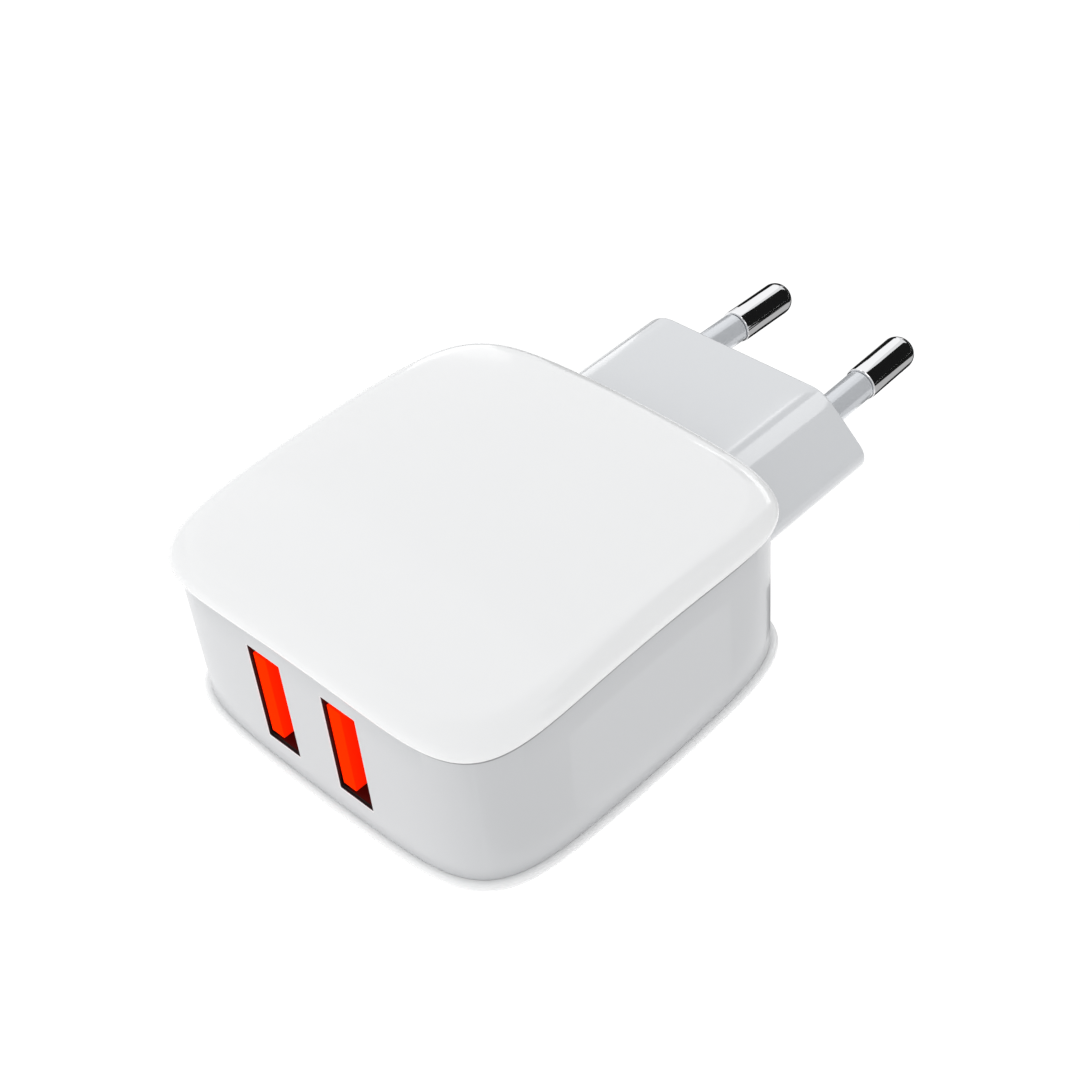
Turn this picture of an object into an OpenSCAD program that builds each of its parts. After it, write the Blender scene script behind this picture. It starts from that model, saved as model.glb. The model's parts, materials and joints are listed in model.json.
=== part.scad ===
// Two-port USB wall charger with a flat two-pin plug. Units are millimetres.
// Origin: middle of the plug's end face, between the pins. +Y runs out along the pins, +Z is up
// through the top cover, +X is to the right seen from the port side.

/* [Body] */
// Width and depth of the middle frame across its flats
frame_size = 47; // [44:0.5:52]
// Squareness of the outline: 2 is a circle, larger is squarer
outline_power = 6; // [4:0.5:8]
// Wall thickness of the middle frame
frame_wall = 1.8; // [1.4:0.1:2.2]
// Height of the upper and lower seams above the middle, at the centre of the body
seam_height = 11; // [10.5:0.1:12]
// Radius of the domed seams and covers
dome_radius = 185; // [150:5:400]

/* [Covers] */
// Thickness of the top cover
top_thickness = 2.4; // [2:0.1:3]
// Thickness of the bottom cover
bottom_thickness = 1.9; // [1.6:0.1:2.6]
// How far the covers' rims stand out past the frame
cover_overhang = 0.65; // [0.3:0.05:1]
// Radius of the flat foot in the middle of the bottom cover
foot_radius = 13; // [8:1:14]

/* [Plug] */
// Length of the plug body from the frame to its end face
plug_length = 18.5; // [18:0.5:24]
// Width of the plug body over its rounded sides
plug_width = 34.6; // [34.6:0.1:36]
// Height of the plug body
plug_height = 13; // [13:0.1:13.7]
// Distance between the pins at the end face
pin_pitch_root = 18.8; // [18:0.1:19.2]
// Distance between the pins at their tips
pin_pitch_tip = 17.7; // [17:0.1:18]
// Length of the pins past the end face
pin_length = 19; // [18.5:0.1:19.5]
// Diameter of the bare metal end of each pin
pin_diameter = 4; // [3.94:0.01:4.06]
// Diameter of the insulating sleeve on each pin
sleeve_diameter = 3.6; // [3.5:0.05:3.8]
// Length of the insulating sleeve past the end face
sleeve_length = 10; // [10:0.1:11]

/* [Ports] */
// Distance between the middles of the two ports
port_pitch = 10.8; // [10.4:0.1:14]
// Width of each port opening
port_width = 4.8; // [4.7:0.1:5.1]
// Height of each port opening
port_height = 13; // [12.6:0.1:13]
// Thickness of the frame's lip around each opening
port_lip = 0.35; // [0.3:0.05:0.8]

/* [Board] */
// Thickness of the circuit board
board_thickness = 1.2; // [1:0.2:1.6]
// Height of the transformer
transformer_height = 13; // [12:0.5:15]
// Height of the electrolytic capacitors
capacitor_height = 13; // [10:0.5:13]

/* [Hidden] */

frame_half = frame_size / 2;
frame_inner = frame_half - frame_wall;
body_y = -(plug_length + frame_half);       // middle of the body
front_y = body_y - frame_half;              // outer face with the ports
cover_half = frame_half + cover_overhang;
cover_foot_in = 0.4;                        // the rim tucks in this far where it meets the seam
segments = 96;                              // points round each ring of the body
slack = 0.05;                               // clearance between pieces that slide together

lip_thickness = 1.2;                        // locating lip under each cover
lip_drop = 1.5;
cover_lip_out = frame_inner - 0.1;

sleeve_radius = sleeve_diameter / 2;
sleeve_hole = sleeve_radius + 0.08;         // the sleeve leans, so its hole needs a little room
pin_radius = pin_diameter / 2;
pin_core_radius = 1.5;
pin_tip_round = 1.7;
pin_tail = 8;                               // how far each pin runs back inside the plug
pin_angle = atan((pin_pitch_root - pin_pitch_tip) / 2 / pin_length);
plug_wall = 1.6;
plug_end_wall = 2.4;
carrier_depth = 4;
flange_thickness = 2.3;
flange_rim = 1.2;

shell_metal = 0.3;
shell_inner = [5.12, 12.5];                 // inside of a standard receptacle
shell_outer = [shell_inner.x + 2 * shell_metal, shell_inner.y + 2 * shell_metal];
shell_front = front_y + port_lip;
shell_depth = 13.6;
shell_back = shell_front + shell_depth;
tongue = [1.84, 11.1];
tongue_left = -1.9;                         // from the port's middle to the tongue's back face
tongue_face = tongue_left + tongue.x;
tongue_front = front_y + 0.25;
insulator_base = 4;                         // depth of the moulded block behind the tongue
base_front = shell_back - insulator_base;
contact_heights = [-3.5, -1, 1, 3.5];       // standard contact positions across the tongue
contact_size = [0.25, 1];
groove_width = 1.3;
groove_start = 2.9;                         // the grooves start this far behind the tongue's tip
groove_depth = 1.1;
spring_root_x = tongue_face - 0.75;         // axis of the springs' bend, in the bottom of the grooves
spring_root_y = base_front - 0.35;
spring_length = 6.1;
spring_bump = 0.45;                         // how far the contact stands out of the tongue's face
tail_pitch = 1.5;
tail_first = 0.9;

board_top = -shell_outer.y / 2 - slack;
board_bottom = board_top - board_thickness;
board_half = cover_lip_out - lip_thickness - 0.2;
board_front = body_y - board_half;
board_back = -(plug_length + frame_wall + flange_thickness + 0.4);
lead_end = board_bottom - 1;                // leads are trimmed just under the board
lead_radius = 0.3;
lead_hole_radius = 0.45;

output_cap_at = [14.4, body_y - 12.6];
input_cap_at = [14.6, body_y + 12.2];
cap_radius = 4;
cap_lead_pitch = 1.75;
transformer_y = body_y + 5.4;
core = [15.6, 14, 5.4];
core_leg = 2.3;
core_back = 2.7;
core_centre = [3.6, 5.4];
bobbin_flange = [0.8, core.y - 2 * core_leg - 0.3];
bobbin_wall = 0.6;
window_x = core.x - 2 * core_back;
transformer_z = board_top + 0.2 + transformer_height / 2;
transformer_pin_x = [-3.6, -1.2, 1.2, 3.6];
transformer_pin_y = 3.4;
barrier_y = transformer_y - core.y / 2 - 1;
lead_drop_y = -(plug_length + 6);

// ---------- outline and ring helpers ----------

function outline_radius(half, t) =
    half / pow(pow(abs(cos(t)), outline_power) + pow(abs(sin(t)), outline_power), 1 / outline_power);

function outline(half, n = segments) =
    [for (i = [0 : n - 1]) let(t = 360 * i / n, r = outline_radius(half, t)) [r * cos(t), r * sin(t)]];

function dome(r) = r * r / (2 * dome_radius);

// A round ring on the dome, all at one height
function disc_ring(r, z) =
    [for (i = [0 : segments - 1]) let(t = 360 * i / segments) [r * cos(t), r * sin(t) + body_y, z - dome(r)]];

// One ring of the body at a half size: z is measured from the dome when domed is 1
function ring(half, z, domed) =
    [for (p = outline(half)) [p.x, p.y + body_y, z - domed * dome(norm(p))]];

// Closed solid whose skin runs through a list of rings, from a middle point to a middle point
module ring_solid(rings, first_z, last_z) {
    n = segments;
    last = len(rings) - 1;
    points = concat([[0, body_y, first_z]], [for (r = rings) each r], [[0, body_y, last_z]]);
    function at(k, i) = 1 + k * n + (i % n);
    faces = concat(
        [for (i = [0 : n - 1]) [0, at(0, i + 1), at(0, i)]],
        [for (k = [0 : last - 1]) for (i = [0 : n - 1]) each
            [[at(k, i), at(k, i + 1), at(k + 1, i + 1)], [at(k, i), at(k + 1, i + 1), at(k + 1, i)]]],
        [for (i = [0 : n - 1]) [len(points) - 1, at(last, i), at(last, i + 1)]]);
    polyhedron(points, faces, convexity = 6);
}

// Closed ring-shaped solid, whose skin runs through the rings and back to the first
module ring_loop(rings) {
    n = segments;
    m = len(rings);
    function at(k, i) = (k % m) * n + (i % n);
    faces = [for (k = [0 : m - 1]) for (i = [0 : n - 1]) each
        [[at(k, i), at(k, i + 1), at(k + 1, i + 1)], [at(k, i), at(k + 1, i + 1), at(k + 1, i)]]];
    polyhedron([for (r = rings) each r], faces, convexity = 6);
}

// Corners of a polygon rounded by arcs: each corner is [x, y, radius]
function rounded(corners, steps = 6) = [for (i = [0 : len(corners) - 1])
    let(n = len(corners), c = corners[i], a = corners[(i + n - 1) % n], b = corners[(i + 1) % n],
        p = [c.x, c.y], u = [a.x, a.y] - p, v = [b.x, b.y] - p,
        un = u / norm(u), vn = v / norm(v), half = acos(un * vn) / 2,
        middle = p + (un + vn) / norm(un + vn) * c.z / sin(half),
        start = p + un * c.z / tan(half) - middle, end = p + vn * c.z / tan(half) - middle,
        a0 = atan2(start.y, start.x), turn = atan2(end.y, end.x) - a0,
        sweep = turn > 180 ? turn - 360 : turn < -180 ? turn + 360 : turn)
    for (k = [0 : steps]) middle + c.z * [cos(a0 + sweep * k / steps), sin(a0 + sweep * k / steps)]];

// Flattened hexagon of the plug body, grown by a margin all round
function plug_outline(grow) =
    let(h = plug_height / 2 + grow, side_round = 2 + grow, shoulder_round = 4.5 + grow,
        tip = plug_width / 2 + grow + side_round * (sqrt(2) - 1), flat = tip - h)
    rounded([[flat, h, shoulder_round], [-flat, h, shoulder_round], [-tip, 0, side_round],
        [-flat, -h, shoulder_round], [flat, -h, shoulder_round], [tip, 0, side_round]]);

// A prism along +Y from y0 to y1, with its outline in X and Z
module prism_y(points, y0, y1) {
    translate([0, y1, 0]) rotate([90, 0, 0]) linear_extrude(y1 - y0) polygon(points);
}

module box(low, high) {
    translate(low) cube(high - low);
}

// ---------- housing ----------

// Rings of a cover's skin, from the flat or crown in the middle down to the seam
function cover_skin(thickness, rim_at, flat) =
    let(steps = 8, round_in = 2.6, round_up = thickness - rim_at)
    concat([disc_ring(flat, seam_height + thickness)],
        [for (half = [max(12, flat + 2), 17, 20]) ring(half, seam_height + thickness, 1)],
        [for (k = [0 : steps]) let(t = 90 - 90 * k / steps)
            ring(cover_half - round_in * (1 - cos(t)), seam_height + rim_at + round_up * sin(t), 1)],
        [ring(cover_half - 0.12, seam_height + rim_at * 0.4, 1),
        ring(cover_half - cover_foot_in, seam_height, 1)]);

// A cover, drawn as the top one: a domed plate with a round rim and a locating lip underneath
module cover(thickness, rim_at, flat, crown) {
    under = [ring(frame_half, seam_height, 1), ring(frame_inner, seam_height, 1),
        ring(cover_lip_out, seam_height, 1), ring(cover_lip_out, seam_height - lip_drop, 1),
        ring(cover_lip_out - lip_thickness, seam_height - lip_drop, 1),
        ring(cover_lip_out - lip_thickness, seam_height, 1), ring(10, seam_height, 1)];
    skin = cover_skin(thickness, rim_at, flat);
    ring_solid(concat(skin, under), crown, seam_height);
}

module top_cover() {
    color("white") cover(top_thickness, 0.8, 6, seam_height + top_thickness);
}

// The bottom cover, with a small flat foot and four posts that carry the board
module bottom_cover() {
    color("white") {
        mirror([0, 0, 1])
            cover(bottom_thickness, 0.5, foot_radius, seam_height + bottom_thickness - dome(foot_radius));
        for (x = [-15, 15], y = [-59, -26]) translate([x, y, -10.6])
            cylinder(h = board_bottom + 10.6, r = 1.4, $fn = 32);
    }
}

module mid_frame() {
    color("gainsboro") difference() {
        ring_loop([ring(frame_half, seam_height, 1), mirror_ring(ring(frame_half, seam_height, 1)),
            mirror_ring(ring(frame_inner, seam_height, 1)), ring(frame_inner, seam_height, 1)]);
        for (side = [-1, 1]) translate([side * port_pitch / 2, 0, 0]) {
            box([-port_width / 2, front_y - 1, -port_height / 2],
                [port_width / 2, front_y + 4, port_height / 2]);
            box([-shell_outer.x / 2 - slack, shell_front - slack, -shell_outer.y / 2 - slack],
                [shell_outer.x / 2 + slack, front_y + 4, shell_outer.y / 2 + slack]);
        }
        prism_y(plug_outline(slack), -plug_length - frame_wall - 2, 0);
    }
}

function mirror_ring(r) = [for (p = r) [p.x, p.y, -p.z]];

module plug_housing() {
    back = -plug_length - frame_wall - flange_thickness;
    color("gainsboro") difference() {
        union() {
            prism_y(plug_outline(0), back, 0);
            intersection() {
                prism_y(plug_outline(flange_rim), back, -plug_length);
                translate([0, body_y, -15]) linear_extrude(30) polygon(outline(frame_inner - 0.03));
            }
        }
        prism_y(plug_outline(-plug_wall), back - 1, -plug_end_wall);
        for (side = [-1, 1]) pin_place(side)
            turned_y([[0, -6], [sleeve_hole, -6], [sleeve_hole, 2], [0, 2]]);
    }
}

// ---------- pins ----------

// Puts a piece drawn along +Y from the end face at a pin's place and lean
module pin_place(side) {
    translate([side * pin_pitch_root / 2, 0, 0]) rotate([0, 0, side * pin_angle]) children();
}

// A turned piece along +Y: each profile point is [radius, y]
module turned_y(profile) {
    rotate([-90, 0, 0]) rotate_extrude($fn = 64) polygon(profile);
}

module pin(side) {
    tip_start = pin_length - pin_tip_round;
    tip = [for (k = [0 : 6]) let(t = 15 * k)
        [pin_radius - pin_tip_round * (1 - cos(t)), tip_start + pin_tip_round * sin(t)]];
    color("silver") pin_place(side) turned_y(concat(
        [[0, -pin_tail], [pin_core_radius, -pin_tail], [pin_core_radius, sleeve_length],
        [pin_radius, sleeve_length]], tip, [[0, pin_length]]));
}

module pin_sleeve(side) {
    color("whitesmoke") pin_place(side) turned_y([[pin_core_radius, -plug_end_wall - 1],
        [sleeve_radius, -plug_end_wall - 1], [sleeve_radius, sleeve_length],
        [pin_core_radius, sleeve_length]]);
}

// Moulded block behind the end wall that holds both pins
module pin_carrier() {
    front = -plug_end_wall;
    color("whitesmoke") difference() {
        prism_y(plug_outline(-plug_wall - slack), front - carrier_depth, front);
        for (side = [-1, 1]) pin_place(side) {
            turned_y([[0, -12], [pin_core_radius, -12], [pin_core_radius, 2], [0, 2]]);
            turned_y([[0, -plug_end_wall - 1], [sleeve_radius, -plug_end_wall - 1],
                [sleeve_radius, 2], [0, 2]]);
        }
        box([-5, front - carrier_depth - 1, -10], [5, front - 1.5, 10]);
    }
}

// Springy strip that joins a pin's tail to the board
module pin_lead(side) {
    strip = 0.4;
    wide = 2.6;
    tail_x = side * (pin_pitch_root / 2 + 0.25);
    under = -pin_core_radius;
    color("goldenrod") {
        box([tail_x - wide / 2, lead_drop_y, under - strip - 0.02],
            [tail_x + wide / 2, -5.5 - carrier_depth / 2, under - 0.02]);
        box([tail_x - wide / 2, lead_drop_y - strip, board_top + 0.05],
            [tail_x + wide / 2, lead_drop_y, under - 0.02]);
        box([tail_x - 0.4, lead_drop_y - strip, lead_end], [tail_x + 0.4, lead_drop_y, board_top + 0.05]);
    }
}

// ---------- ports ----------

module usb_shell(side) {
    half = shell_outer / 2;
    inner = shell_inner / 2;
    color("silver") translate([side * port_pitch / 2, 0, 0]) difference() {
        union() {
            box([-half.x, shell_front, -half.y], [half.x, shell_back, half.y]);
            for (y = [4.2, 11]) box([half.x - shell_metal, shell_front + y, lead_end],
                [half.x, shell_front + y + 1.4, -half.y]);
        }
        box([-inner.x, shell_front - 1, -inner.y], [inner.x, shell_back + 1, inner.y]);
        for (z = [-3.2, 3.2])
            box([-half.x - 1, shell_front + 4.6, z - 1.1], [half.x + 1, shell_front + 8.4, z + 1.1]);
    }
}

module usb_insulator(side) {
    inner = shell_inner / 2 - [slack, slack];
    color("orangered") translate([side * port_pitch / 2, 0, 0]) difference() {
        union() {
            box([-inner.x, base_front, -inner.y], [inner.x, shell_back, inner.y]);
            box([tongue_left, tongue_front, -tongue.y / 2], [tongue_face, base_front + 0.5, tongue.y / 2]);
        }
        for (z = contact_heights) {
            box([tongue_face - groove_depth, shell_front + groove_start, z - groove_width / 2],
                [tongue_face + 0.35, base_front + 1.2, z + groove_width / 2]);
            box([spring_root_x - contact_size.x / 2 - 0.02, base_front, z - contact_size.y / 2 - 0.02],
                [spring_root_x + contact_size.x / 2 + 0.02, shell_back + 1, z + contact_size.y / 2 + 0.02]);
        }
    }
}

// The four springy contact arms of one port, which bend down into their grooves when a plug goes in
module contact_springs(side) {
    bump_y = 3.6;
    high = tongue_face + spring_bump;
    t = contact_size.x;
    color("gold") translate([side * port_pitch / 2 + spring_root_x, spring_root_y, 0])
        for (z = contact_heights) translate([0, 0, z - contact_size.y / 2]) linear_extrude(contact_size.y)
            polygon(rounded([[-t / 2, 0, 0.02], [-t / 2, -0.6, 0.1], [high - spring_root_x - t, -bump_y, 0.5],
                [high - spring_root_x - t - 0.75, -spring_length + 0.2, 0.1],
                [high - spring_root_x - 0.7, -spring_length, 0.05],
                [high - spring_root_x, -bump_y, 0.7], [t / 2, -0.5, 0.1], [t / 2, 0, 0.02]], 3));
}

// The fixed roots of the contacts, which run back through the moulding and down into the board
module contact_tails(side) {
    t = contact_size.x;
    start = spring_root_y + 0.25;
    color("gold") translate([side * port_pitch / 2 + spring_root_x, 0, 0])
        for (i = [0 : 3]) let(z = contact_heights[i], drop_y = shell_back + tail_first + i * tail_pitch) {
            box([-t / 2, start, z - contact_size.y / 2], [t / 2, drop_y, z + contact_size.y / 2]);
            box([-t / 2, drop_y - 0.6, lead_end], [t / 2, drop_y, z - contact_size.y / 2]);
        }
}

// ---------- board and its components ----------

function mirror_x(p) = [-p.x, p.y];

// Round leads that pass through the board: [x, y]
function cap_leads(at) = [for (d = [-1, 1]) [at.x + d * cap_lead_pitch, at.y]];
capacitor_lead_places = concat(cap_leads(output_cap_at), cap_leads(mirror_x(output_cap_at)),
    cap_leads(input_cap_at), cap_leads(mirror_x(input_cap_at)));
transformer_pin_places = [for (x = transformer_pin_x, s = [-1, 1])
    [x, transformer_y + s * transformer_pin_y]];
fuse_places = [[-6.5, -plug_length - 8.6], [6.5, -plug_length - 8.6]];
safety_places = [[10.6, body_y - 0.2], [15.6, body_y - 0.2]];
inductor_places = [[-11.4, body_y + 2.6], [-15.4, body_y + 2.6]];
round_lead_places = concat(capacitor_lead_places, transformer_pin_places, fuse_places, safety_places,
    inductor_places);

module main_board() {
    color("darkgreen") difference() {
        translate([0, body_y, board_bottom]) linear_extrude(board_thickness)
            intersection() {
                polygon(outline(board_half));
                translate([-board_half, board_front - body_y])
                    square([2 * board_half, board_back - board_front]);
            }
        for (p = round_lead_places)
            translate([p.x, p.y, board_bottom - 1])
                cylinder(h = board_thickness + 2, r = lead_hole_radius, $fn = 24);
        for (side = [-1, 1]) {
            for (y = [4.2, 11])
                translate([side * port_pitch / 2 + shell_outer.x / 2, shell_front + y, board_bottom - 1])
                    box([-shell_metal - 0.15, -0.15, 0], [0.15, 1.55, board_thickness + 2]);
            for (i = [0 : 3]) let(drop_y = shell_back + tail_first + i * tail_pitch)
                translate([side * port_pitch / 2 + spring_root_x, drop_y - 0.3, board_bottom - 1])
                    cylinder(h = board_thickness + 2, r = 0.45, $fn = 24);
            translate([side * (pin_pitch_root / 2 + 0.25), lead_drop_y - 0.2, board_bottom - 1])
                cylinder(h = board_thickness + 2, r = 0.6, $fn = 24);
        }
    }
}

module solder_joints() {
    color("silver") for (p = round_lead_places)
        translate([p.x, p.y, board_bottom - 0.8]) difference() {
            cylinder(h = 0.8, r1 = 0.4, r2 = 0.9, $fn = 32);
            translate([0, 0, -1]) cylinder(h = 3, r = lead_radius, $fn = 32);
        }
}

module round_lead(p, z) {
    translate([p.x, p.y, lead_end]) cylinder(h = z - lead_end, r = lead_radius, $fn = 32);
}

module capacitor(at, shade) {
    base = board_top + 0.3;
    color(shade) translate([at.x, at.y, base]) rotate_extrude($fn = 64)
        polygon([[0, 0], [cap_radius - 0.3, 0], [cap_radius, 0.3], [cap_radius, 1.4],
            [cap_radius - 0.35, 1.8], [cap_radius, 2.2], [cap_radius, capacitor_height - 0.4],
            [cap_radius - 0.4, capacitor_height], [0, capacitor_height]]);
}

module capacitor_leads() {
    color("silver") for (p = capacitor_lead_places) round_lead(p, board_top + 0.3);
}

// One E-shaped half of the transformer's ferrite core
module transformer_core(side) {
    leg_y = core.y / 2 - core_leg;
    color("dimgray") translate([0, transformer_y, transformer_z]) difference() {
        box([min(0, side * core.x / 2), -core.y / 2, -core.z / 2],
            [max(0, side * core.x / 2), core.y / 2, core.z / 2]);
        for (s = [-1, 1]) let(a = s * core_centre.x / 2, b = s * leg_y)
            box([-window_x / 2, min(a, b), -core.z], [window_x / 2, max(a, b), core.z]);
    }
}

module transformer_bobbin() {
    flange_h = transformer_height / 2;
    tube_y = core_centre.x / 2 + 0.1;
    tube_z = core_centre.y / 2 + 0.1;
    end = window_x / 2 - 0.1;
    color("ivory") translate([0, transformer_y, transformer_z]) difference() {
        union() {
            box([-end, -tube_y - bobbin_wall, -tube_z - bobbin_wall],
                [end, tube_y + bobbin_wall, tube_z + bobbin_wall]);
            for (x = [-end, end - bobbin_flange.x])
                box([x, -bobbin_flange.y / 2, -flange_h + 1.9],
                    [x + bobbin_flange.x, bobbin_flange.y / 2, flange_h]);
            box([-end, -bobbin_flange.y / 2, -flange_h], [end, bobbin_flange.y / 2, -flange_h + 1.9]);
        }
        box([-20, -tube_y, -tube_z], [20, tube_y, tube_z]);
        for (x = transformer_pin_x, s = [-1, 1])
            translate([x, s * transformer_pin_y, -flange_h - 1]) cylinder(h = 2.5, r = lead_radius, $fn = 32);
    }
}

module transformer_winding() {
    end = window_x / 2 - 0.1 - bobbin_flange.x;
    inner = [core_centre.x / 2 + 0.1 + bobbin_wall, core_centre.y / 2 + 0.1 + bobbin_wall];
    outer = [bobbin_flange.y / 2 - 0.3, transformer_height / 2 - 1.95];
    color("peru") translate([0, transformer_y, transformer_z]) difference() {
        translate([-end, 0, 0]) rotate([90, 0, 90]) linear_extrude(2 * end)
            polygon(rounded([[outer.x, outer.y, 1], [-outer.x, outer.y, 1],
                [-outer.x, -outer.y, 1], [outer.x, -outer.y, 1]]));
        box([-20, -inner.x, -inner.y], [20, inner.x, inner.y]);
    }
}

// Yellow tape wound round the outside of both core halves
module transformer_tape() {
    tape = 0.15;
    color("gold") translate([0, transformer_y, transformer_z]) difference() {
        box([-core.x / 2 - tape, -core.y / 2 - tape, -2.2], [core.x / 2 + tape, core.y / 2 + tape, 2.2]);
        box([-core.x / 2, -core.y / 2, -3], [core.x / 2, core.y / 2, 3]);
    }
}

module transformer_pins() {
    color("silver") for (p = transformer_pin_places)
        round_lead(p, transformer_z - transformer_height / 2 + 1.5);
}

// Axial part lying on the board between two bent leads
module axial_part(places, radius, length, lift, shade) {
    middle = (places[0] + places[1]) / 2;
    across = abs(places[1].x - places[0].x);
    color(shade) union() {
        translate([middle.x - length / 2, middle.y, lift]) rotate([0, 90, 0]) rotate_extrude($fn = 48)
            polygon([[0, 0], [radius - 0.3, 0], [radius, 0.4], [radius, 1.6], [radius - 0.25, 2],
                [radius - 0.25, length - 2], [radius, length - 1.6], [radius, length - 0.4],
                [radius - 0.3, length], [0, length]]);
        translate([middle.x - across / 2, middle.y, lift]) rotate([0, 90, 0])
            cylinder(h = across, r = lead_radius, $fn = 32);
        for (p = places) round_lead(p, lift);
    }
}

module fuse_resistor() {
    axial_part(fuse_places, 1.5, 9, board_top + 1.8, "seagreen");
}

module filter_inductor() {
    middle = (inductor_places[0] + inductor_places[1]) / 2;
    color("darkslategray") {
        translate([middle.x, middle.y, board_top + 0.3]) rotate_extrude($fn = 48)
            polygon([[0, 0], [3.4, 0], [3.4, 1], [2.7, 1], [2.7, 6], [3.4, 6], [3.4, 7], [0, 7]]);
        for (p = inductor_places) round_lead(p, board_top + 0.5);
    }
}

// Ceramic disc that bridges the two sides of the supply
module safety_capacitor() {
    middle = (safety_places[0] + safety_places[1]) / 2;
    color("royalblue") {
        translate([middle.x, middle.y, board_top + 4.4]) rotate([90, 0, 0]) rotate_extrude($fn = 48)
            polygon([[0, -1.5], [2.8, -1.5], [3.5, -0.7], [3.5, 0.7], [2.8, 1.5], [0, 1.5]]);
        for (p = safety_places) round_lead(p, board_top + 3.4);
    }
}

// Small moulded chip on the board's underside, with rows of gull-wing legs
module chip(at, size, pins, pitch) {
    foot = 0.15;
    color("black") translate([at.x, at.y, board_bottom]) {
        box([-size.x / 2, -size.y / 2, -size.z - foot], [size.x / 2, size.y / 2, -foot]);
        for (i = [0 : pins - 1], s = [-1, 1]) let(x = (i - (pins - 1) / 2) * pitch)
            box([x - 0.2, min(s * (size.y / 2 - 0.1), s * (size.y / 2 + 0.9)), -foot - 0.1],
                [x + 0.2, max(s * (size.y / 2 - 0.1), s * (size.y / 2 + 0.9)), -0.01]);
    }
}

module bridge_rectifier() {
    chip([0, -plug_length - 10.7], [4.7, 3.9, 1.4], 2, 2.5);
}

module primary_controller() {
    chip([-9.3, -plug_length - 16.5], [4.9, 3.9, 1.3], 4, 1.27);
}

module synchronous_rectifier() {
    chip([12.4, body_y - 5.4], [4.9, 3.9, 1.3], 4, 1.27);
}

module port_controller() {
    chip([0, body_y - 12.5], [2.9, 1.6, 1.1], 3, 0.95);
}

// Chip resistors and capacitors soldered to the underside
module chip_components() {
    places = [[-4, -26, 0], [4, -26, 0], [9.6, -33, 90], [13, -37.5, 90], [-14.6, -36.4, 90],
        [-12.2, -41.8, 0], [-9.2, -47, 0], [-1.2, -47.2, 0], [-3.8, -50.4, 90], [1.6, -50, 90],
        [-1.6, -58, 0], [1.6, -58, 0]];
    for (p = places) color(p[2] == 0 ? "tan" : "black")
        translate([p.x, p.y, board_bottom - 0.71]) rotate([0, 0, p[2]]) box([-1, -0.6, 0], [1, 0.6, 0.7]);
}

// Stiff sheet that keeps the mains side away from the ports
module insulation_barrier() {
    color("khaki") box([-17.5, barrier_y - 0.2, board_top + 0.02], [17.5, barrier_y + 0.2, 7.4]);
}

top_cover();
bottom_cover();
mid_frame();
plug_housing();
pin_carrier();
pin(-1);  // left_pin
pin(1);  // right_pin
pin_sleeve(-1);  // left_pin_sleeve
pin_sleeve(1);  // right_pin_sleeve
pin_lead(-1);  // left_pin_lead
pin_lead(1);  // right_pin_lead
usb_shell(-1);  // left_usb_shell
usb_shell(1);  // right_usb_shell
usb_insulator(-1);  // left_usb_insulator
usb_insulator(1);  // right_usb_insulator
contact_springs(-1);  // left_contact_springs
contact_springs(1);  // right_contact_springs
contact_tails(-1);  // left_contact_tails
contact_tails(1);  // right_contact_tails
main_board();
solder_joints();
transformer_core(-1);  // transformer_core_left
transformer_core(1);  // transformer_core_right
transformer_bobbin();
transformer_winding();
transformer_tape();
transformer_pins();
capacitor(mirror_x(input_cap_at), "black");  // input_capacitor_left
capacitor(input_cap_at, "black");  // input_capacitor_right
capacitor(mirror_x(output_cap_at), "seagreen");  // output_capacitor_left
capacitor(output_cap_at, "seagreen");  // output_capacitor_right
capacitor_leads();
fuse_resistor();
bridge_rectifier();
primary_controller();
synchronous_rectifier();
port_controller();
safety_capacitor();
filter_inductor();
chip_components();
insulation_barrier();
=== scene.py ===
# %% [markdown]
# # A two-port USB wall charger
#
# The charger is a rounded, domed box with two USB sockets in its front and a flat two-pin plug at its back.
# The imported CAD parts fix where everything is. This lesson keeps those places, and remakes the pieces that
# people see as smooth surfaces with soft edges and moulded, plated or soldered finishes.

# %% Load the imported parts
import json
import math

import bmesh
import bpy
from mathutils import Matrix, Vector


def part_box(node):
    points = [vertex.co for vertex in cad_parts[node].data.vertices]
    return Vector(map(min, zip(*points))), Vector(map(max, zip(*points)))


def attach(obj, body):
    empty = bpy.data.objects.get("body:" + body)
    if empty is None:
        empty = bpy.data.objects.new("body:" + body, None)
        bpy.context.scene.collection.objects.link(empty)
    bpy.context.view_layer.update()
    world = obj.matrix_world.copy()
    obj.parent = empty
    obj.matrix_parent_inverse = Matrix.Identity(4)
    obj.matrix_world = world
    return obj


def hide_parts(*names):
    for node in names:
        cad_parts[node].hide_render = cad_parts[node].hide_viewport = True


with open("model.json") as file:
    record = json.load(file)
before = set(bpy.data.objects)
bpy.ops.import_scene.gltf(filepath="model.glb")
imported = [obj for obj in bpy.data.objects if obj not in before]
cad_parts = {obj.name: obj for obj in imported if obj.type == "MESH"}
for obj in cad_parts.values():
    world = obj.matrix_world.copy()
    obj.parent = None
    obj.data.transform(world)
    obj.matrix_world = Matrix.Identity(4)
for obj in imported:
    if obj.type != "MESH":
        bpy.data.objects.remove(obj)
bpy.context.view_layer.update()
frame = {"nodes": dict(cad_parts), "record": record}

MM = 0.001
BODY = "charger"

# %% [markdown]
# ## Camera
#
# A long lens keeps the box's edges nearly parallel, as in a catalogue shot. A camera can be aimed with a
# Track To constraint, but a matrix of its own three axes also fixes its roll, and that is used here.

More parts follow.
